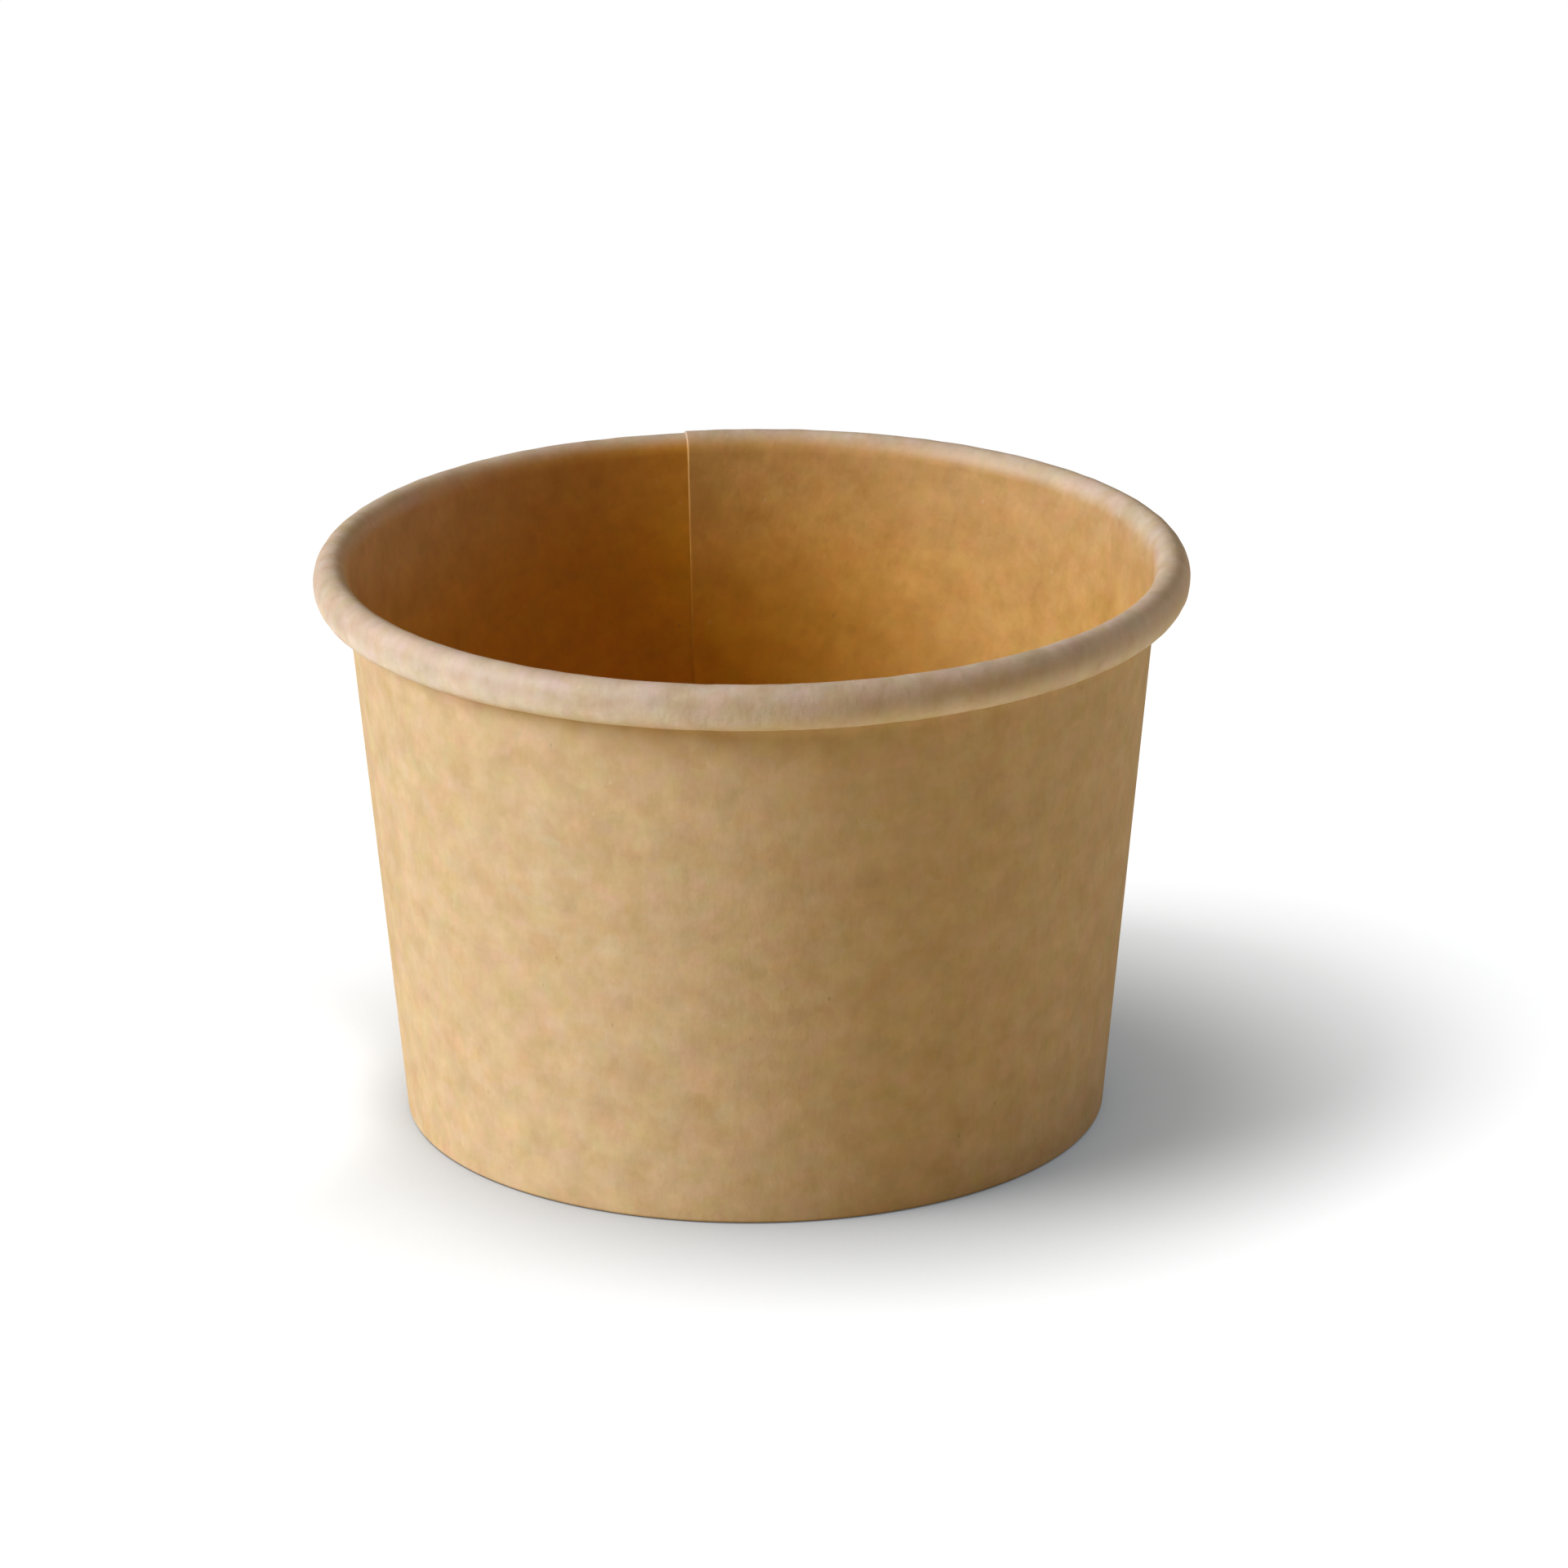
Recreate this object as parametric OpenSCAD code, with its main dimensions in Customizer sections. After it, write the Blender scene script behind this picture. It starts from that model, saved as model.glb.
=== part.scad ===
// A short, wide paper soup cup, empty and without its lid.
// One fan-shaped blank is wrapped into a cone, lapped and sealed down its side,
// rolled outwards at the mouth and folded in under the base.
// A disc with a turned-down skirt is held in that fold.
// The origin is the centre of the base, on the table, and +Z is up.

/* [Mouth and rim] */
// Outer diameter of the rolled rim
rim_d = 90; // [80:0.5:120]
// Height of the rolled rim
rim_h = 4.65; // [4:0.05:6]
// How far the rolled rim stands out past the wall under it
rim_out = 3.5; // [3.2:0.1:5]
// Slack between the turns of the roll
roll_gap = 0.06; // [0.03:0.01:0.15]

/* [Body] */
// Height from the table to the top of the rim
cup_h = 59.6; // [40:0.1:120]
// Outer diameter of the wall at the table
base_d = 72.6; // [60:0.1:78]

/* [Board] */
// Thickness of the side wall's board
board_t = 0.4; // [0.3:0.01:0.5]
// Thickness of the bottom disc's board
disc_t = 0.3; // [0.2:0.01:0.45]

/* [Side seam] */
// Width of the sealed lap, measured at the mouth
lap_w = 8; // [5:0.5:14]
// How much thicker the pressed lap is than one layer of board
lap_t = 0.18; // [0.1:0.01:0.3]
// Direction of the inner cut edge, counted from +X towards +Y
seam_at = 99.4; // [60:0.1:120]
// Arc over which the outer layer eases back to the round
ease_arc = 26; // [12:1:45]

/* [Base] */
// Height of the bottom disc's underside above the table
recess_h = 6.4; // [4.5:0.1:12]
// How far the folded hem's edge stops below the disc's bend
hem_gap = 0.8; // [0.2:0.1:2]
// Inside radius of the bottom fold
fold_r = 0.05; // [0.02:0.01:0.09]
// Slack between the disc's skirt and the board on each side of it
seat_gap = 0.05; // [0.03:0.01:0.1]
// Outside radius of the bend between the disc and its skirt
bend_r = 0.9; // [0.5:0.1:1.5]

/* [Hidden] */

// Steps round the cup and along each small bend, and degrees per step of the roll
turn_steps = 84;
bend_steps = 3;
roll_step = 22.5;
// Width of a cut edge, in degrees round the cup
cut_arc = 0.08;
// Angles on the roll, in degrees from the wall over the top and down:
// its underside, where it is back beside the wall, and where its edge is
roll_under = 270;
roll_back = 360;
roll_end = 405;

// Lean of the wall from the upright
lean = atan((rim_d / 2 - rim_out - base_d / 2) / (cup_h - rim_h));
// Skirt channel between the two layers of the bottom fold
channel = disc_t + 2 * seat_gap;
// Heights of the disc's upper face, of its bend's centre and of the hem's edge
disc_z = recess_h + disc_t;
knee_z = disc_z - bend_r;
hem_z = knee_z - hem_gap;
// Lap as an angle, and the direction of the outer cut edge
lap_arc = lap_w / (rim_d / 2 - rim_out) * 180 / PI;
lap_from = seam_at - lap_arc;

// Radius of the wall's inner face at height z, pushed outwards by d across the board
function inner_r(z, d = 0) = base_d / 2 + z * tan(lean) + (d - board_t) / cos(lean);

// Half height, half width and centre of the roll: it touches the wall's line,
// the top of the cup, the rim's outer diameter and the underside of the rim
roll_a = rim_h / 2;
roll_z = cup_h - roll_a;
roll_room = rim_d / 2 - inner_r(roll_z);
roll_b = (pow(roll_room, 2) - pow(roll_a * tan(lean), 2)) / (2 * roll_room);
roll_r = rim_d / 2 - roll_b;
roll_from = atan(roll_a * tan(lean) / roll_b);
// What the second turn gives up so that it winds inside the first
roll_in = board_t + lap_t + roll_gap;

// Smooth step from 1 to 0 as u goes from 0 to 1
function ease(u) = u >= 1 ? 0 : (1 + cos(180 * max(u, 0))) / 2;

// Point on the roll's outer face at angle a, and its heading over a small arc
roll_arc = 1;
function roll_tuck(a) = roll_in * (1 - ease((a - roll_under) / (roll_back - roll_under)));
function roll_at(a) = [
    roll_r - (roll_b - roll_tuck(a)) * cos(a),
    roll_z + (roll_a - roll_tuck(a)) * sin(a)
];
function roll_point(a) =
    let (d = roll_at(a + roll_arc / 2) - roll_at(a - roll_arc / 2))
    [roll_at(a).x, roll_at(a).y, atan2(d.y, d.x)];

// Small bend of radius r about a centre, from one heading to another
function bend(centre, r, from, to) = [
    for (k = [0 : bend_steps])
        let (h = from + (to - from) * k / bend_steps)
        [centre.x + r * sin(h), centre.y - r * cos(h), h]
];

// The blank's coated face in section, from the hem's edge to the end of the roll.
// Each point is a radius, a height and a heading; the board lies to its right.
fold_z = board_t + fold_r;
section = concat(
    [[inner_r(hem_z, -channel), hem_z, -90 - lean]],
    bend([inner_r(fold_z, fold_r - channel), fold_z], fold_r, -90 - lean, 0),
    bend([inner_r(fold_z, -fold_r), fold_z], fold_r, 0, 90 - lean),
    [for (a = [roll_from, each [roll_step : roll_step : roll_end]]) roll_point(a)]
);

// Depth of the coated face and of the outer face at turn angle a. The lap holds
// two layers, and past the inner cut edge the outer layer eases in.
lap_to = lap_from + 360;
function lap_depth(a) = lap_t * ease((a - seam_at) / ease_arc);
function coated_depth(a) = a > seam_at ? lap_depth(a) : 0;
function outer_depth(a) = board_t + (a < lap_to - cut_arc ? lap_depth(a) : 0);

// Turn angles, from the outer cut edge once round and back to it
step = 360 / turn_steps;
edges = [lap_from, seam_at, seam_at + cut_arc, lap_to];
round_angles = [
    for (k = [ceil(lap_from / step) : floor(lap_to / step)])
        if (min([for (edge = edges) abs(k * step - edge)]) > step / 8) k * step
];
turns = concat(
    [lap_from],
    [for (a = round_angles) if (a < seam_at) a],
    [seam_at, seam_at + cut_arc],
    [for (a = round_angles) if (a > seam_at) a],
    [lap_to - cut_arc]
);

// A point of the section at depth d and turn angle a; nothing is pressed below the table
function wall_point(p, d, a) =
    let (r = p[0] + d * sin(p[2]), z = max(p[1] - d * cos(p[2]), 0))
    [r * cos(a), r * sin(a), z];
function wall_ring(a) = concat(
    [for (p = section) wall_point(p, coated_depth(a), a)],
    [for (k = [len(section) - 1 : -1 : 0]) wall_point(section[k], outer_depth(a), a)]
);

// Closed skin over rings of equal length, joined end to start both ways
module ring_loft(rings) {
    n = len(rings);
    m = len(rings[0]);
    points = [for (ring = rings) each ring];
    faces = [
        for (i = [0 : n - 1], j = [0 : m - 1])
            let (
                a = i * m + j,
                b = i * m + (j + 1) % m,
                c = (i + 1) % n * m + (j + 1) % m,
                d = (i + 1) % n * m + j
            )
            each [[a, c, b], [a, d, c]]
    ];
    polyhedron(points = points, faces = faces, convexity = 8);
}

// Side wall: hem, fold, cone, lap and rolled rim, all one blank
module sidewall() {
    color([0.80, 0.66, 0.47])
        ring_loft([for (a = turns) wall_ring(a)]);
}

// Half section of the disc and its skirt, which leans with the wall and stops
// just clear of the fold
foot_z = board_t + fold_r + seat_gap;
module disc_section() {
    knee = [inner_r(knee_z, -seat_gap - bend_r), knee_z];
    polygon(concat(
        [[0, recess_h], [0, disc_z]],
        [for (p = bend(knee, bend_r, 180, 90 - lean)) [p[0], p[1]]],
        [[inner_r(foot_z, -seat_gap), foot_z], [inner_r(foot_z, -seat_gap - disc_t), foot_z]],
        [for (p = bend(knee, bend_r - disc_t, 90 - lean, 180)) [p[0], p[1]]]
    ));
}

// Bottom disc with its turned-down skirt
module bottom_disc() {
    color([0.76, 0.60, 0.40])
        rotate_extrude($fn = turn_steps)
            disc_section();
}

sidewall();
bottom_disc();
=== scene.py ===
import math

import bpy
import numpy as np
from mathutils import Matrix, Vector


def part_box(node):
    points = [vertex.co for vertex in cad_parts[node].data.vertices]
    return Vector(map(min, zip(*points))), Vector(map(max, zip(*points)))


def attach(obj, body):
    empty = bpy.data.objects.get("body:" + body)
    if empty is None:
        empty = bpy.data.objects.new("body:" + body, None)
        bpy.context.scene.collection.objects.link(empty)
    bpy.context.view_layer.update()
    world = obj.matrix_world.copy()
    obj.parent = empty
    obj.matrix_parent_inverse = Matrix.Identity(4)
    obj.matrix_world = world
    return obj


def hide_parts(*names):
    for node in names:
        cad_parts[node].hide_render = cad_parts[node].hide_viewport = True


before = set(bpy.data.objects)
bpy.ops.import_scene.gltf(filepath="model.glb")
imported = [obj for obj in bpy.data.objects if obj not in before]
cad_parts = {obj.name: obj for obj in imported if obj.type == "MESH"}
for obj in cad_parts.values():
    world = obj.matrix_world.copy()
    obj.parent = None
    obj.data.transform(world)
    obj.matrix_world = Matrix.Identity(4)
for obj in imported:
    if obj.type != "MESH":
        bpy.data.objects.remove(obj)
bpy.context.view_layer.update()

# Sizes in metres and angles in degrees; the rim and the height are the frame's own
MM = 0.001
RIM_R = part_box("sidewall")[1].x
CUP_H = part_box("sidewall")[1].z
RIM_H = 4.65 * MM
RIM_OUT = 3.5 * MM
ROLL_GAP = 0.06 * MM
BASE_R = 36.3 * MM
BOARD_T = 0.4 * MM
DISC_T = 0.3 * MM
LAP_W = 8.0 * MM
LAP_T = 0.18 * MM
SEAM_AT = 99.4
EASE_ARC = 26.0
RECESS_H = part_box("bottom_disc")[1].z - DISC_T
HEM_GAP = 0.8 * MM
FOLD_R = 0.05 * MM
SEAT_GAP = 0.05 * MM
BEND_R = 0.9 * MM

# Worked out from them, as in the frame
WALL_R = RIM_R - RIM_OUT
LEAN = math.atan((WALL_R - BASE_R) / (CUP_H - RIM_H))
CHANNEL = DISC_T + 2 * SEAT_GAP
HEM_H = RECESS_H + DISC_T - BEND_R - HEM_GAP
LAP_ARC = math.degrees(LAP_W / WALL_R)
LAP_FROM = SEAM_AT - LAP_ARC
LAP_TO = SEAM_AT + 360


def inner_r(z, depth=0.0):
    """Radius of the wall's coated face at height z, pushed outwards by depth across the board."""
    return BASE_R + z * math.tan(LEAN) + (depth - BOARD_T) / math.cos(LEAN)


ROLL_A = RIM_H / 2
ROLL_Z = CUP_H - ROLL_A
ROLL_ROOM = RIM_R - inner_r(ROLL_Z)
ROLL_B = (ROLL_ROOM**2 - (ROLL_A * math.tan(LEAN)) ** 2) / (2 * ROLL_ROOM)
ROLL_R = RIM_R - ROLL_B
ROLL_IN = BOARD_T + LAP_T + ROLL_GAP
ROLL_FROM = math.degrees(math.atan(ROLL_A * math.tan(LEAN) / ROLL_B))
ROLL_UNDER, ROLL_BACK, ROLL_END = 270.0, 360.0, 405.0


def ease(u):
    """Smooth step from 1 to 0 as u goes from 0 to 1."""
    return (1 + np.cos(np.pi * np.clip(u, 0, 1))) / 2


# The board's section: stations from the hem's edge to the end of the roll
HEM_STEPS, BEND_STEPS, WALL_STEPS = 4, 6, 26
ROLL_STEP = 7.5
HEADING_ARC = 0.25


def roll_at(a):
    """Place on the roll's outer face at angle a, from the wall over the top and down."""
    tuck = ROLL_IN * (1 - ease((a - ROLL_UNDER) / (ROLL_BACK - ROLL_UNDER)))
    t = np.radians(a)
    return np.array([ROLL_R - (ROLL_B - tuck) * np.cos(t), ROLL_Z + (ROLL_A - tuck) * np.sin(t)])


def roll_stations():
    """Radius, height and heading of the stations round the roll."""
    angles = np.append(ROLL_FROM, np.arange(ROLL_STEP, ROLL_END + ROLL_STEP / 2, ROLL_STEP))
    ahead = roll_at(angles + HEADING_ARC) - roll_at(angles - HEADING_ARC)
    places = roll_at(angles)
    return np.column_stack([places[0], places[1], np.arctan2(ahead[1], ahead[0])]), angles


def bend_stations(centre_r, centre_z, radius, start, end):
    """Stations round a small bend, from one heading to another, in degrees."""
    h = np.radians(np.linspace(start, end, BEND_STEPS + 1))
    return np.column_stack([centre_r + radius * np.sin(h), centre_z - radius * np.cos(h), h])


def straight_stations(z_from, z_to, depth, heading, steps):
    """Stations along the cone, without the first and the last, which are the neighbours'."""
    z = np.linspace(z_from, z_to, steps + 1)[1:-1]
    return np.column_stack([inner_r(z, depth), z, np.full(len(z), math.radians(heading))])


def section_stations():
    """The whole section, and each station's angle on the roll, which is 0 below it."""
    down, up = -90 - math.degrees(LEAN), 90 - math.degrees(LEAN)
    fold_z = BOARD_T + FOLD_R
    roll, roll_angles = roll_stations()
    parts = [
        np.array([[inner_r(HEM_H, -CHANNEL), HEM_H, math.radians(down)]]),
        straight_stations(HEM_H, fold_z, -CHANNEL, down, HEM_STEPS),
        bend_stations(inner_r(fold_z, FOLD_R - CHANNEL), fold_z, FOLD_R, down, 0),
        bend_stations(inner_r(fold_z, -FOLD_R), fold_z, FOLD_R, 0, up),
        straight_stations(fold_z, roll[0][1], 0.0, up, WALL_STEPS),
        roll,
    ]
    stations = np.vstack(parts)
    on_roll = np.concatenate([np.zeros(len(stations) - len(roll)), roll_angles])
    return stations, on_roll


# The board's wrap: turn angles from the outer cut edge once round to the inner one
TURN_STEPS = 365
NEAR_CUT = np.array([0.0, 0.03, 0.06, 0.10, 0.16, 0.20, 0.30, 0.6]) * MM
INNER_CUT_SOFT = 0.16 * MM
INNER_CUT_LEFT = 0.03 * MM
OUTER_CUT_SOFT = 0.2 * MM
OUTER_CUT_LEFT = 0.04 * MM
GLUE_LINE = 0.01 * MM


def turn_angles():
    """Turn angles, close together at both cut edges, where the board's corner is soft."""
    edge = np.degrees(NEAR_CUT / WALL_R)
    inner = np.linspace(LAP_FROM + edge[-1], LAP_TO - edge[-1], TURN_STEPS + 1)[1:-1]
    return np.concatenate([LAP_FROM + edge, inner, (LAP_TO - edge)[::-1]])


def from_outer_cut(turn):
    """How far round the wall a turn angle is from the outer cut edge."""
    return np.radians(turn - LAP_FROM) * WALL_R


def board_depths(turn):
    """Depth of the coated and the outer face at each turn angle, from the cup's inside.
    The lap is skived, so its two layers together are one board and the lap's extra."""
    over = turn <= SEAM_AT
    under = turn >= LAP_FROM + 360
    skive_over = BOARD_T + (LAP_T - BOARD_T) * (turn - LAP_FROM) / LAP_ARC
    skive_under = BOARD_T + (LAP_T - BOARD_T) * (turn - 360 - LAP_FROM) / LAP_ARC
    settle = ease((turn - SEAM_AT) / EASE_ARC)
    coated = np.where(over, skive_over + GLUE_LINE / 2, (LAP_T + GLUE_LINE / 2) * settle)
    outer = BOARD_T + LAP_T * settle
    outer = np.where(under, skive_under - GLUE_LINE / 2, outer)
    slant = np.clip(1 - from_outer_cut(turn) / OUTER_CUT_SOFT, 0, 1)
    corner = np.clip(1 - np.radians(LAP_TO - turn) * WALL_R / INNER_CUT_SOFT, 0, 1) ** 2
    return coated + (LAP_T - INNER_CUT_LEFT) * corner, outer - (LAP_T - OUTER_CUT_LEFT) * slant


# Wrinkles across the rolled rim: waves per turn, height in millimetres and phase, and the
# arc of the roll over which they grow
RIM_WAVES = ((31, 0.008, 0.4), (43, 0.008, 2.1), (59, 0.008, 4.0), (73, 0.006, 1.3), (97, 0.005, 5.2))
WRINKLE_ARC = (25, 80)


def rim_wrinkle(turn):
    """Height of the rim's wrinkles at a turn angle, the same on every layer."""
    t = np.radians(turn)
    return sum(height * MM * np.sin(waves * t + phase) for waves, height, phase in RIM_WAVES)


def smooth(x, start, end):
    """Smooth step from 0 to 1 as x goes from start to end."""
    return 1 - ease((x - start) / (end - start))


def deep_and_shade_tone(turn, z):
    """How deep the coating's amber is painted: full on the left of the inner cut edge, and on
    its right only low down, so that the step in tone at that edge fades downwards. The step
    at the edge is the coating's own tone; the deeper, darker amber over the shaded left of
    the inside and low down in the cup is painted shade."""
    high_at_left = smooth(turn, 100, 160) * smooth(z, 36 * MM, 56 * MM)
    left = (1 - smooth(turn, 200, 300)) * (1 - 0.7 * high_at_left)
    high_at_right = smooth(z, 35 * MM, 58 * MM)
    right = smooth(turn, LAP_TO - 70, LAP_TO) * (1 - 0.8 * high_at_right)
    return np.where(turn < 280, left, right)


def rim_tone(turn, past_wall):
    """How pale the coated face is where the roll stretches it: nearly from the wall on at the
    right, and only near the top of the rim at the back and the left. The paling is the
    coating's own, but its reach down the wall at the right, where the light falls, is
    painted light. The wall below it pales a little too, least at the back."""
    from_right = np.abs((turn + 180) % 360 - 180)
    late = smooth(from_right, 10, 90)
    rolled = smooth(past_wall, (1.7 * late - 1.4) * MM, (0.8 * late + 2.2) * MM)
    side_share = 0.12 + 0.06 * np.cos(np.radians(2 * turn))
    below = side_share * smooth(past_wall, -12 * MM, 0)
    return np.maximum(rolled, below)


# The arc over which the roll's underside is painted paler, a painted bounce light from below, and how far
# under the rim the kraft is painted paler, a painted light against the rim's shadow
PAINTED_BOUNCE_ARC = (155, 235)
PAINTED_LIGHT_REACH = 2.2 * MM


def painted_light_tone(z):
    """How near the wall's outer face is to the rim above it: the share of the kraft's painted light, which
    lifts the rim's shadow on the wall.
    """
    under_rim = CUP_H - RIM_H
    return smooth(z, under_rim - PAINTED_LIGHT_REACH, under_rim)


# Helpers for modelling with operators
SMOOTH_UP_TO = 40


def select_none():
    bpy.ops.object.select_all(action="DESELECT")


def apply_modifier(piece, kind, **settings):
    """Adds a modifier, sets it and applies it."""
    bpy.context.view_layer.objects.active = piece
    modifier = piece.modifiers.new(kind.lower(), kind)
    for name, value in settings.items():
        setattr(modifier, name, value)
    bpy.ops.object.modifier_apply(modifier=modifier.name)


def outward_and_smooth(piece):
    """Turns all faces outwards and smooths the shading of all but the sharp edges."""
    select_none()
    piece.select_set(True)
    bpy.context.view_layer.objects.active = piece
    bpy.ops.object.mode_set(mode="EDIT")
    bpy.ops.mesh.select_all(action="SELECT")
    bpy.ops.mesh.normals_make_consistent(inside=False)
    bpy.ops.object.mode_set(mode="OBJECT")
    bpy.ops.object.shade_smooth_by_angle(angle=math.radians(SMOOTH_UP_TO))


def finish_piece(piece, stands_for):
    """The piece stands for a node of the frame, whose part it hides, and rides on the cup."""
    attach(piece, "root")
    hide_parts(stands_for)


# Side wall
def flat_blank(columns, rows):
    """A flat board of unit length and width, one unit thick, with a row and column of
    points for every station and turn angle."""
    select_none()
    bpy.ops.mesh.primitive_grid_add(x_subdivisions=columns - 1, y_subdivisions=rows - 1, size=1)
    blank = bpy.context.active_object
    bpy.ops.object.mode_set(mode="EDIT")
    bpy.ops.mesh.select_all(action="SELECT")
    bpy.ops.mesh.extrude_region_move(TRANSFORM_OT_translate={"value": (0, 0, 1)})
    bpy.ops.object.mode_set(mode="OBJECT")
    return blank


def grid_places(mesh, columns, rows):
    """Each point's column and row on the flat blank, and whether it is on the outer face."""
    flat = np.zeros(len(mesh.vertices) * 3, np.float32)
    mesh.vertices.foreach_get("co", flat)
    flat = flat.reshape(-1, 3)
    column = np.rint((flat[:, 0] + 0.5) * (columns - 1)).astype(int)
    row = np.rint((flat[:, 1] + 0.5) * (rows - 1)).astype(int)
    return column, row, flat[:, 2] > 0.5


def wrap_board(mesh, station, turn, is_outer, wrinkled):
    """Moves every point of the flat blank to its place on the cup."""
    coated, outer = board_depths(turn)
    depth = np.where(is_outer, outer, coated) - rim_wrinkle(turn) * wrinkled
    r, z, heading = station.T
    radius = r + depth * np.sin(heading)
    height = np.maximum(z - depth * np.cos(heading), 0)
    angle = np.radians(turn)
    formed = np.column_stack([radius * np.cos(angle), radius * np.sin(angle), height])
    mesh.vertices.foreach_set("co", formed.astype(np.float32).ravel())


def keep_fan(mesh, run, turn):
    """The blank's flat layout, a fan about the cone's apex, in metres."""
    from_apex = inner_r(0) / math.sin(LEAN) + run
    fanned = np.radians(turn - (LAP_FROM + LAP_TO) / 2) * math.sin(LEAN)
    layout = np.column_stack([from_apex * np.sin(fanned), from_apex * np.cos(fanned)])
    loops = np.zeros(len(mesh.loops), np.int32)
    mesh.loops.foreach_get("vertex_index", loops)
    uv = mesh.uv_layers[0]
    uv.name = "flat_board"
    uv.data.foreach_set("uv", layout[loops].astype(np.float32).ravel())


def model_sidewall():
    """The blank, wrapped, lapped, hemmed and rolled, with its flat layout kept as its UV map."""
    stations, on_roll = section_stations()
    turns = turn_angles()
    blank = flat_blank(len(turns), len(stations))
    blank.name = "side_wall_board"
    mesh = blank.data
    column, row, is_outer = grid_places(mesh, len(turns), len(stations))
    turn, z = turns[column], stations[row, 1]
    wrap_board(mesh, stations[row], turn, is_outer, smooth(on_roll, *WRINKLE_ARC)[row])
    run = np.concatenate([[0], np.cumsum(np.hypot(*np.diff(stations[:, :2], axis=0).T))])
    keep_fan(mesh, run[row], turn)

    past_wall = run - run[len(run) - np.count_nonzero(on_roll)]
    is_cut = is_outer & (from_outer_cut(turn) < 1.01 * OUTER_CUT_SOFT)
    # painted shade: deeper amber on the shaded left of the inside and low down, besides the coating's own
    # step at the inner cut edge
    add_tone(mesh, "deep_and_shade_tone", deep_and_shade_tone(turn, z))
    # the rim's pale tone, whose reach down the lit right of the inside is painted light
    add_tone(mesh, "rim_tone", rim_tone(turn, past_wall[row]))
    # painted bounce light: the roll's underside, which faces the floor, painted paler
    add_tone(mesh, "painted_bounce_tone", smooth(on_roll, *PAINTED_BOUNCE_ARC)[row])
    # painted light: the kraft paler just under the rim, where the rim's shadow falls
    add_tone(mesh, "painted_light_tone", painted_light_tone(z))
    add_tone(mesh, "fresh_tone", is_cut)
    paint_board(mesh, is_outer, is_cut)
    mesh.update()
    outward_and_smooth(blank)
    finish_piece(blank, "sidewall")
    return blank


def add_tone(mesh, name, values):
    """Keeps one number per point for the finishes to read."""
    tone = mesh.attributes.new(name, "FLOAT", "POINT")
    tone.data.foreach_set("value", np.asarray(values, np.float32))


def paint_board(mesh, is_outer, is_cut):
    """Outer faces are kraft, inner faces are coated, and faces that join the two are cut edges,
    as is the slanted cut on the outside."""
    for material in (kraft_outside(), coated_inside(), cut_edge()):
        mesh.materials.append(material)
    kraft, coated, edge = range(3)
    for face in mesh.polygons:
        outer_points = sum(bool(is_outer[v]) for v in face.vertices)
        slanted = all(is_cut[v] for v in face.vertices)
        flat_sides = {len(face.vertices): kraft, 0: coated}
        face.material_index = edge if slanted else flat_sides.get(outer_points, edge)


# Bottom disc
DISC_SIDES = 168
DISC_RINGS = (2.2, 5, 8, 8, 7)
DISC_BEND_STEPS = 6
CLOSE = 0.1 * MM


def select_edges_where(piece, test):
    """In edit mode, selects the edges whose two ends both pass a test."""
    bpy.ops.mesh.select_all(action="DESELECT")
    bpy.ops.object.mode_set(mode="OBJECT")
    points = piece.data.vertices
    for edge in piece.data.edges:
        edge.select = all(test(points[v].co) for v in edge.vertices)
    bpy.ops.object.mode_set(mode="EDIT")


def model_bottom_disc():
    """A disc pressed with a turned-down skirt, which stands in the fold of the side wall."""
    top = RECESS_H + DISC_T
    foot = BOARD_T + FOLD_R + SEAT_GAP
    rim = inner_r(top, -SEAT_GAP)
    foot_r = inner_r(foot, -SEAT_GAP)
    select_none()
    bpy.ops.mesh.primitive_circle_add(
        vertices=DISC_SIDES, radius=rim, fill_type="NGON", location=(0, 0, top)
    )
    disc = bpy.context.active_object
    disc.name = "bottom_disc_board"
    bpy.ops.object.transform_apply(location=True, rotation=False, scale=False)
    bpy.ops.object.mode_set(mode="EDIT")
    bpy.context.tool_settings.mesh_select_mode = (False, True, True)
    bpy.ops.mesh.select_all(action="SELECT")
    for ring in DISC_RINGS:
        bpy.ops.mesh.inset(thickness=ring * MM, depth=0)
    bpy.ops.mesh.poke()
    select_edges_where(disc, lambda p: p.xy.length > rim - CLOSE)
    bpy.ops.mesh.extrude_edges_move(TRANSFORM_OT_translate={"value": (0, 0, foot - top)})
    bpy.ops.transform.resize(value=(foot_r / rim, foot_r / rim, 1))
    select_edges_where(disc, lambda p: p.xy.length > rim - CLOSE and p.z > top - CLOSE)
    bpy.ops.mesh.bevel(offset=BEND_R, segments=DISC_BEND_STEPS, affect="EDGES")
    bpy.ops.mesh.select_all(action="SELECT")
    bpy.ops.mesh.normals_make_consistent(inside=False)
    bpy.ops.object.mode_set(mode="OBJECT")
    point_up(disc)
    apply_modifier(disc, "SOLIDIFY", thickness=DISC_T, offset=-1, use_even_offset=True)
    paint_disc(disc.data, rim)
    keep_plan(disc.data)
    outward_and_smooth(disc)
    finish_piece(disc, "bottom_disc")
    return disc


def point_up(piece):
    """Flips an open sheet whose middle faces look down."""
    mesh = piece.data
    middle = min(mesh.polygons, key=lambda face: face.center.xy.length)
    if middle.normal.z < 0:
        mesh.flip_normals()


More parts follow.
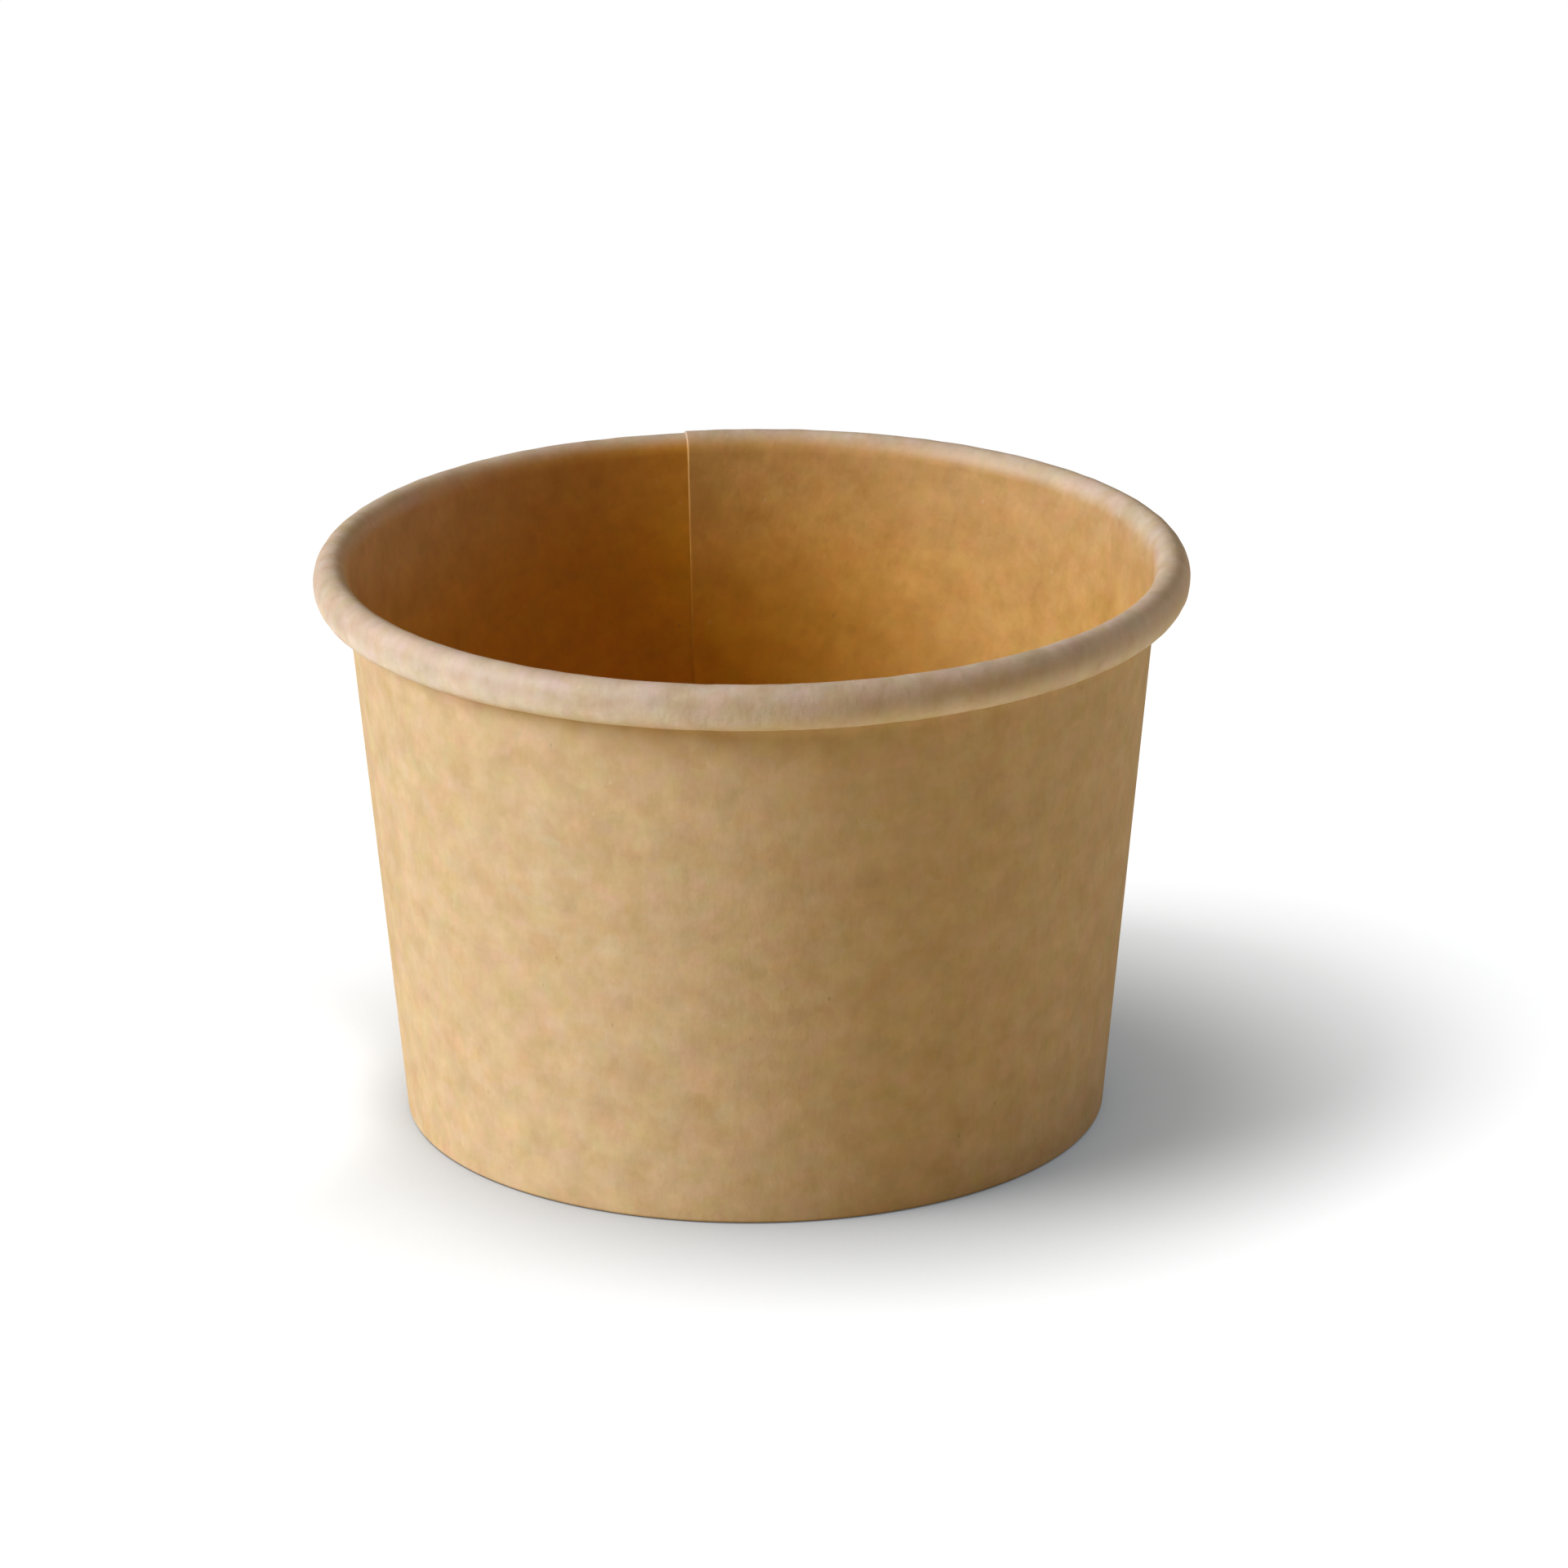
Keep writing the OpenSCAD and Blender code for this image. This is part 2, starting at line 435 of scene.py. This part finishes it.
def paint_disc(mesh, rim):
    """Coated on top and outside the skirt, kraft below, and deep in tone all over: painted shade at the
    bottom of the cup.
    """
    for material in (coated_inside(), kraft_outside(), cut_edge()):
        mesh.materials.append(material)
    coated, kraft = range(2)
    for face in mesh.polygons:
        looks_out = face.normal.xy.dot(face.center.xy) > 0.3 * rim
        face.material_index = coated if looks_out or face.normal.z > 0.5 else kraft
    for name in ("rim_tone", "painted_bounce_tone", "fresh_tone", "painted_light_tone"):
        add_tone(mesh, name, np.zeros(len(mesh.vertices)))
    # painted shade: the whole disc, at the bottom of the cup, takes the deeper amber
    add_tone(mesh, "deep_and_shade_tone", np.ones(len(mesh.vertices)))


def keep_plan(mesh):
    """The disc's flat layout is its plan, in metres."""
    uv = mesh.uv_layers.new(name="flat_board") if not mesh.uv_layers else mesh.uv_layers[0]
    uv.name = "flat_board"
    for loop in mesh.loops:
        point = mesh.vertices[loop.vertex_index].co
        uv.data[loop.index].uv = (point.x, point.y)


# Finishes: the colours of the board, its coating, its cut edges and its specks, and the painted light and
# shade laid on the board and its coating
KRAFT = (0.618, 0.454, 0.258, 1)
# painted light: kraft paler just under the rim, where the rim's shadow falls on the wall
KRAFT_PAINTED_LIGHT = (0.790, 0.590, 0.355, 1)
COATED = (0.520, 0.284, 0.074, 1)
# deeper amber: the coating's own step at the inner cut edge, and painted shade over the shaded inside
COATED_DEEP_SHADE = (0.580, 0.250, 0.006, 1)
RIM = (0.562, 0.435, 0.314, 1)
# painted bounce light: the roll's underside, which faces the floor, painted paler
RIM_PAINTED_BOUNCE = (0.880, 0.775, 0.645, 1)
RAW_EDGE = (0.640, 0.450, 0.240, 1)
FRESH_CUT = (0.800, 0.650, 0.450, 1)
DARK_SPECK = (0.17, 0.10, 0.05, 1)
PALE_SPECK = (0.78, 0.66, 0.45, 1)


def new_group(name, inputs, outputs):
    """An empty shader node group with named number, colour or vector sockets."""
    group = bpy.data.node_groups.new(name, "ShaderNodeTree")
    for label, kind, value in inputs:
        socket = group.interface.new_socket(label, in_out="INPUT", socket_type="NodeSocket" + kind)
        if value is not None:
            socket.default_value = value
    for label, kind in outputs:
        group.interface.new_socket(label, in_out="OUTPUT", socket_type="NodeSocket" + kind)
    return group, group.nodes.new("NodeGroupInput"), group.nodes.new("NodeGroupOutput")


def link_or_set(tree, socket, value):
    """Links a socket to another one, or sets its value."""
    if isinstance(value, bpy.types.NodeSocket):
        tree.links.new(value, socket)
    else:
        socket.default_value = value


def node(tree, kind, inputs=None, **settings):
    """A node with its properties set, and its inputs set or linked."""
    made = tree.nodes.new("ShaderNode" + kind)
    for name, value in settings.items():
        setattr(made, name, value)
    for label, value in (inputs or {}).items():
        link_or_set(tree, made.inputs[label], value)
    return made


def maths(tree, operation, a, b):
    """A Math node's result."""
    return node(tree, "Math", operation=operation, inputs={0: a, 1: b}).outputs[0]


def nudged(tree, value, pattern, amount):
    """A value moved up and down by a pattern, which is centred on a half."""
    centred = maths(tree, "SUBTRACT", pattern, 0.5)
    return maths(tree, "ADD", value, maths(tree, "MULTIPLY", centred, amount))


def swing(tree, pattern, amount):
    """A pattern's value, centred on one and scaled."""
    return nudged(tree, 1.0, pattern, amount)


def remap(tree, value, start, end, low=0.0, high=1.0):
    """A value moved from one range to another and held there."""
    made = node(tree, "MapRange", interpolation_type="SMOOTHSTEP", inputs={
        "Value": value, "From Min": start, "From Max": end, "To Min": low, "To Max": high,
    })
    return made.outputs[0]


def blend_colour(tree, share, first, second, kind="MIX"):
    """Two colours mixed by a share."""
    made = node(tree, "Mix", data_type="RGBA", blend_type=kind)
    for socket, value in ((made.inputs[0], share), (made.inputs[6], first), (made.inputs[7], second)):
        link_or_set(tree, socket, value)
    return made.outputs[2]


def noise(tree, vector, scale, detail, roughness):
    """A noise pattern, from 0 to 1, on a vector in metres."""
    made = node(tree, "TexNoise", noise_dimensions="3D", inputs={
        "Vector": vector, "Scale": scale, "Detail": detail, "Roughness": roughness,
    })
    return made.outputs[0]


def stretched(tree, vector, scale, shift):
    """A vector stretched and moved."""
    made = node(tree, "Mapping", inputs={"Vector": vector, "Scale": scale, "Location": shift})
    return made.outputs[0]


def board_pattern_group():
    """Kraft board: clouds of pulp of all sizes, fine fibres along the board, and sparse specks."""
    group, given, result = new_group(
        "board_pattern",
        [("Vector", "Vector", None), ("Speck Share", "Float", 0.05)],
        [(name, "Float") for name in ("Cloud", "Fibre", "Red", "Yellow", "Dark Speck", "Pale Speck")],
    )
    place = given.outputs["Vector"]
    bent = node(group, "TexNoise", noise_dimensions="2D", inputs={
        "Vector": place, "Scale": 500.0, "Detail": 2.0,
    })
    bent = node(group, "VectorMath", operation="MULTIPLY_ADD", inputs={
        0: bent.outputs["Color"], 1: (0.0022, 0.0022, 0), 2: place,
    }).outputs[0]
    flakes = node(group, "TexVoronoi", voronoi_dimensions="2D", feature="SMOOTH_F1", inputs={
        "Vector": bent, "Scale": 560.0, "Smoothness": 0.45,
    })
    flake = node(group, "SeparateColor", inputs={"Color": flakes.outputs["Color"]})
    cloud = nudged(group, noise(group, place, 250.0, 4.0, 0.62), flake.outputs[0], 0.12)
    fibre = noise(group, stretched(group, place, (1.7, 0.7, 1), (0, 5, 0)), 800.0, 2.0, 0.5)
    red = noise(group, stretched(group, place, (1, 1, 1), (7, 2, 0)), 300.0, 2.5, 0.65)
    red = nudged(group, red, flake.outputs[1], 0.3)
    yellow = noise(group, stretched(group, place, (1, 1, 1), (2, 8, 0)), 340.0, 2.5, 0.65)
    yellow = nudged(group, yellow, flake.outputs[2], 0.35)
    outputs = [("Cloud", cloud), ("Fibre", fibre), ("Red", red), ("Yellow", yellow)]
    for name, scale, shift in (("Dark Speck", 420.0, (0, 0, 0)), ("Pale Speck", 340.0, (4, 4, 0))):
        cells = node(group, "TexVoronoi", feature="F1", inputs={
            "Vector": stretched(group, place, (1.5, 0.8, 1), shift), "Scale": scale,
        })
        near = remap(group, cells.outputs["Distance"], 0.02, 0.12, 1.0, 0.0)
        chosen = node(group, "SeparateColor", inputs={"Color": cells.outputs["Color"]})
        few = maths(group, "LESS_THAN", chosen.outputs[0], given.outputs["Speck Share"])
        strength = maths(group, "MULTIPLY", near, chosen.outputs[1])
        outputs.append((name, maths(group, "MULTIPLY", strength, few)))
    for label, value in outputs:
        group.links.new(value, result.inputs[label])
    return group


def board_colour_group():
    """Tints a board's colour by its pattern: lightness, a little hue and the specks."""
    group, given, result = new_group(
        "board_colour",
        [
            ("Tone", "Color", None), ("Contrast", "Float", 0.4),
            ("Cloud", "Float", 0.5), ("Fibre", "Float", 0.5), ("Red", "Float", 0.5), ("Yellow", "Float", 0.5),
            ("Dark Speck", "Float", 0.0), ("Pale Speck", "Float", 0.0),
        ],
        [("Color", "Color")],
    )
    cloud = maths(group, "SUBTRACT", given.outputs["Cloud"], 0.5)
    fibre = maths(group, "MULTIPLY", maths(group, "SUBTRACT", given.outputs["Fibre"], 0.5), 0.22)
    light = maths(group, "MULTIPLY", maths(group, "ADD", cloud, fibre), given.outputs["Contrast"])
    light = maths(group, "ADD", light, 1.0)
    depth = node(group, "CombineColor", inputs={
        "Red": maths(group, "POWER", light, 0.85),
        "Green": light,
        "Blue": maths(group, "POWER", light, 1.5),
    }).outputs[0]
    toned = blend_colour(group, 1.0, given.outputs["Tone"], depth, "MULTIPLY")
    tint = node(group, "CombineColor", inputs={
        "Red": swing(group, given.outputs["Red"], 0.12),
        "Green": swing(group, given.outputs["Red"], -0.14),
        "Blue": swing(group, given.outputs["Yellow"], 0.34),
    }).outputs[0]
    tinted = blend_colour(group, 1.0, toned, tint, "MULTIPLY")
    dark = maths(group, "MULTIPLY", given.outputs["Dark Speck"], 0.42)
    specked = blend_colour(group, dark, tinted, DARK_SPECK)
    pale = maths(group, "MULTIPLY", given.outputs["Pale Speck"], 0.30)
    specked = blend_colour(group, pale, specked, PALE_SPECK)
    group.links.new(specked, result.inputs["Color"])
    return group


GROUPS = {}
MATERIALS = {}


def tone_of(tree, name):
    """A tone kept on the board's points."""
    return node(tree, "Attribute", attribute_name=name).outputs["Fac"]


def shared_group(name, maker):
    """A node group made once."""
    if name not in GROUPS:
        GROUPS[name] = maker()
    return GROUPS[name]


def new_material(name):
    """A material with its shader, made once by each finish."""
    material = bpy.data.materials.new(name)
    material.use_nodes = True
    tree = material.node_tree
    return material, tree, tree.nodes["Principled BSDF"]


def use_group(tree, group, inputs):
    """A placed node group with its inputs set or linked."""
    placed = tree.nodes.new("ShaderNodeGroup")
    placed.node_tree = group
    for label, value in inputs.items():
        link_or_set(tree, placed.inputs[label], value)
    return placed


def board_place(tree, shift):
    """Place on the flat board, in metres."""
    uv = node(tree, "UVMap", uv_map="flat_board").outputs[0]
    return stretched(tree, uv, (1, 1, 1), shift)


def board_finish(tree, shader, tone, place, contrast, specks, rough, bump, creases=0.0):
    """The parts that every board finish shares: pattern, tinted colour, roughness and tooth."""
    pattern = use_group(tree, shared_group("board_pattern", board_pattern_group), {
        "Vector": place, "Speck Share": specks,
    })
    shared = {socket.name: socket for socket in pattern.outputs}
    tinted = use_group(tree, shared_group("board_colour", board_colour_group), {
        "Tone": tone, "Contrast": contrast, **shared,
    })
    tree.links.new(tinted.outputs["Color"], shader.inputs["Base Color"])
    roughness = remap(tree, pattern.outputs["Cloud"], 0.3, 0.7, rough[0], rough[1])
    tree.links.new(roughness, shader.inputs["Roughness"])
    fibre = maths(tree, "MULTIPLY", pattern.outputs["Fibre"], 0.3)
    height = maths(tree, "ADD", maths(tree, "ADD", pattern.outputs["Cloud"], fibre), creases)
    tooth = node(tree, "Bump", inputs={"Strength": 1.0, "Distance": bump, "Height": height})
    tree.links.new(tooth.outputs["Normal"], shader.inputs["Normal"])


def kraft_outside():
    """Uncoated kraft board: matte, cloudy, with a fine upright fibre, and painted paler close
    under the rim, a painted light that lifts the rim's shadow on the wall."""
    if "kraft_outside" not in MATERIALS:
        material, tree, shader = new_material("kraft_outside")
        shader.inputs["Specular IOR Level"].default_value = 0.3
        shader.inputs["Sheen Weight"].default_value = 0.03
        shader.inputs["Sheen Roughness"].default_value = 0.6
        # painted light: the kraft paler just under the rim, against the rim's shadow
        tone = blend_colour(tree, tone_of(tree, "painted_light_tone"), KRAFT, KRAFT_PAINTED_LIGHT)
        board_finish(
            tree, shader, tone, board_place(tree, (0, 2, 0)),
            contrast=0.57, specks=0.30, rough=(0.72, 0.86), bump=0.07 * MM,
        )
        MATERIALS["kraft_outside"] = material
    return MATERIALS["kraft_outside"]


def coated_inside():
    """The same board under a thin clear coating: deeper and satin, paler where it is rolled, darker in
    painted shade on the shaded left and low down, and paler on the roll's underside in painted bounce light.
    """
    if "coated_inside" not in MATERIALS:
        material, tree, shader = new_material("coated_inside")
        shader.inputs["Specular IOR Level"].default_value = 0.4
        shader.inputs["Coat Roughness"].default_value = 0.42
        rim = tone_of(tree, "rim_tone")
        # painted shade: the deeper amber on the shaded left of the inside and low down, besides the coating's
        # own step at the inner cut edge
        inside = blend_colour(tree, tone_of(tree, "deep_and_shade_tone"), COATED, COATED_DEEP_SHADE)
        # painted bounce light: the roll's underside paler
        rolled = blend_colour(tree, tone_of(tree, "painted_bounce_tone"), RIM, RIM_PAINTED_BOUNCE)
        tone = blend_colour(tree, rim, inside, rolled)
        place = board_place(tree, (0, 0, 0))
        creases = noise(tree, stretched(tree, place, (1.0, 0.6, 1), (6, 0, 0)), 620.0, 3.0, 0.6)
        creases = maths(tree, "MULTIPLY", creases, maths(tree, "MULTIPLY", rim, 1.1))
        board_finish(
            tree, shader, tone, place,
            contrast=0.66, specks=0.22, rough=(0.50, 0.64), bump=0.07 * MM, creases=creases,
        )
        coat = remap(tree, rim, 0.0, 1.0, 0.16, 0.0)
        tree.links.new(coat, shader.inputs["Coat Weight"])
        MATERIALS["coated_inside"] = material
    return MATERIALS["coated_inside"]


def cut_edge():
    """The raw pulp of a cut edge."""
    if "cut_edge" not in MATERIALS:
        material, tree, shader = new_material("cut_edge")
        shader.inputs["Specular IOR Level"].default_value = 0.2
        pulp = blend_colour(tree, tone_of(tree, "rim_tone"), RAW_EDGE, RIM)
        tone = blend_colour(tree, tone_of(tree, "fresh_tone"), pulp, FRESH_CUT)
        place = node(tree, "TexCoord").outputs["Object"]
        board_finish(
            tree, shader, tone, place,
            contrast=0.30, specks=0.0, rough=(0.85, 0.95), bump=0.05 * MM,
        )
        MATERIALS["cut_edge"] = material
    return MATERIALS["cut_edge"]


# Floor, light and camera; each sun has an azimuth, elevation, softness, strength and colour
KEY = (-73.0, 30.0, 34.0, 3.5, (0.96, 1.0, 1.09))
EDGE = (112.0, 10.0, 50.0, 0.60, (0.90, 0.98, 1.12))
FLOOR_KEYS = ((-91.9, 73.2, 35.2, 1.90, (1, 1, 1)), (-64.0, 55.3, 25.0, 1.60, (1, 1, 1)))
WHITE = (1, 1, 1, 1)
WORLD_LIGHT = (0.23, 0.17, 0.10, 1)
FLOOR_BOUNCE = (0.475, 0.385, 0.237, 1)
FLOOR_SHOWN = (0.675, 0.675, 0.675, 1)
FLOOR_SHADOW = (0.250, 0.300, 0.345, 1)
FLOOR_SIZE = 6.0
CONTACT_REACH = 35.0 * MM
CONTACT_REACH_LIT = 10.0 * MM
CONTACT_LIT_SIDE = (-1.0, -0.8)
CONTACT_DEPTH = 0.80
CONTACT_SAMPLES = 16
SHADOW_REACH = (100.0 * MM, 250.0 * MM)


def direction(azimuth, elevation):
    """Unit vector towards an azimuth, counted from the viewer's side towards +X, and an elevation."""
    a, e = math.radians(azimuth), math.radians(elevation)
    return Vector((math.sin(a) * math.cos(e), -math.cos(a) * math.cos(e), math.sin(e)))


def shade(tree, colour, amount):
    """A colour times a number."""
    return node(tree, "VectorMath", operation="SCALE", inputs={0: colour[:3], "Scale": amount}).outputs[0]


def contact_share(tree, place, reach):
    """How much light reaches the floor near the cup; the contact shadow is narrower at the
    left, where the light comes from."""
    left = maths(tree, "DIVIDE", node(tree, "SeparateXYZ", inputs={0: place}).outputs["X"], reach)
    width = remap(tree, left, *CONTACT_LIT_SIDE, CONTACT_REACH_LIT, CONTACT_REACH)
    around = node(tree, "AmbientOcclusion", samples=CONTACT_SAMPLES, inputs={"Distance": width})
    return swing(tree, maths(tree, "SUBTRACT", around.outputs["AO"], 0.5), CONTACT_DEPTH)


def floor_finish():
    """Matte white that shows the cup's shadow, pure white further out, clear from below and
    under the cup, so that the recess can be looked into."""
    material = bpy.data.materials.new("floor")
    material.use_nodes = True
    tree = material.node_tree
    tree.nodes.clear()
    bounce = node(tree, "BsdfDiffuse", inputs={"Color": FLOOR_BOUNCE}).outputs[0]
    place = node(tree, "TexCoord").outputs["Object"]
    reach = node(tree, "VectorMath", operation="LENGTH", inputs={0: place}).outputs["Value"]
    contact = contact_share(tree, place, reach)
    lit = node(tree, "BsdfDiffuse", inputs={"Color": shade(tree, FLOOR_SHOWN, contact)}).outputs[0]
    lift = shade(tree, FLOOR_SHADOW, contact)
    lifted = node(tree, "Emission", inputs={"Color": lift, "Strength": 1.0}).outputs[0]
    shown = node(tree, "AddShader", inputs={0: lit, 1: lifted}).outputs[0]
    white = node(tree, "Emission", inputs={"Color": WHITE, "Strength": 1.0}).outputs[0]
    far = remap(tree, reach, *SHADOW_REACH)
    seen = node(tree, "MixShader", inputs={0: far, 1: shown, 2: white}).outputs[0]
    in_view = node(tree, "LightPath").outputs["Is Camera Ray"]
    whole = node(tree, "MixShader", inputs={0: in_view, 1: bounce, 2: seen}).outputs[0]
    clear = node(tree, "BsdfTransparent").outputs[0]
    behind = node(tree, "NewGeometry").outputs["Backfacing"]
    under_cup = maths(tree, "LESS_THAN", reach, BASE_R - BOARD_T)
    open_part = maths(tree, "MAXIMUM", behind, under_cup)
    shown_side = node(tree, "MixShader", inputs={0: open_part, 1: whole, 2: clear}).outputs[0]
    out = tree.nodes.new("ShaderNodeOutputMaterial")
    tree.links.new(shown_side, out.inputs["Surface"])
    return material


def lay_floor():
    """The floor is a plain plane under the cup."""
    select_none()
    bpy.ops.mesh.primitive_plane_add(size=FLOOR_SIZE)
    floor = bpy.context.active_object
    floor.name = "floor"
    floor.data.materials.append(floor_finish())
    return floor


def add_sun(name, azimuth, elevation, softness, strength, colour, receivers):
    """A soft sun that lights only the objects named."""
    sun = bpy.data.lights.new(name, "SUN")
    sun.energy = strength
    sun.color = colour
    sun.angle = math.radians(softness)
    lamp = bpy.data.objects.new(name, sun)
    bpy.context.scene.collection.objects.link(lamp)
    towards = direction(azimuth, elevation)
    lamp.rotation_euler = towards.to_track_quat("Z", "Y").to_euler()
    lamp.location = towards
    lit = bpy.data.collections.new(name + "_lights")
    for receiver in receivers:
        lit.objects.link(receiver)
    lamp.light_linking.receiver_collection = lit


def light_the_studio(pieces, floor):
    """One large soft light from the left, which stands higher over the floor, a weak one
    from behind on the right, and a plain surround."""
    add_sun("key", *KEY, pieces)
    add_sun("edge", *EDGE, pieces)
    for floor_key in FLOOR_KEYS:
        add_sun("floor_key", *floor_key, [floor])
    surround()


def surround():
    """Lights the cup from all around, and is plain white to the camera."""
    world = bpy.data.worlds.new("studio")
    bpy.context.scene.world = world
    world.use_nodes = True
    tree = world.node_tree
    tree.nodes.clear()
    seen = node(tree, "LightPath").outputs["Is Camera Ray"]
    light = node(tree, "Background", inputs={"Color": WORLD_LIGHT, "Strength": 1.0}).outputs[0]
    white = node(tree, "Background", inputs={"Color": WHITE, "Strength": 1.0}).outputs[0]
    both = node(tree, "MixShader", inputs={0: seen, 1: light, 2: white}).outputs[0]
    out = tree.nodes.new("ShaderNodeOutputWorld")
    tree.links.new(both, out.inputs["Surface"])


# The photograph's view: where its camera stands and what it looks at
VIEW_ELEVATION = 19.43
VIEW_DISTANCE = 0.912
VIEW_LENS = 201.96
VIEW_SENSOR = 36.0
VIEW_CLIP = (0.01, 20.0)
VIEW_ROLL = -0.348
AIM_RIGHT = 3.18 * MM
AIM_UP = 4.30 * MM


def set_camera():
    """A long lens at the photograph's angle, aimed a little right of and above the cup's middle."""
    data = bpy.data.cameras.new("camera")
    data.sensor_width = VIEW_SENSOR
    data.lens = VIEW_LENS
    camera = bpy.data.objects.new("camera", data)
    bpy.context.scene.collection.objects.link(camera)
    bpy.context.scene.camera = camera
    back = direction(0, VIEW_ELEVATION)
    middle = Vector((0, 0, CUP_H / 2))
    up = direction(180, 90 - VIEW_ELEVATION)
    place = middle + back * VIEW_DISTANCE
    aim = middle + Vector((AIM_RIGHT, 0, 0)) + up * AIM_UP
    look = (aim - place).normalized()
    side = look.cross(Vector((0, 0, 1))).normalized()
    head = side.cross(look)
    roll = math.radians(VIEW_ROLL)
    x_axis = side * math.cos(roll) + head * math.sin(roll)
    y_axis = head * math.cos(roll) - side * math.sin(roll)
    camera.matrix_world = Matrix((
        (x_axis.x, y_axis.x, -look.x, place.x),
        (x_axis.y, y_axis.y, -look.y, place.y),
        (x_axis.z, y_axis.z, -look.z, place.z),
        (0, 0, 0, 1),
    ))
    data.clip_start, data.clip_end = VIEW_CLIP


pieces = [model_sidewall(), model_bottom_disc()]
light_the_studio(pieces, lay_floor())
set_camera()
bpy.context.scene.view_settings.view_transform = "Standard"
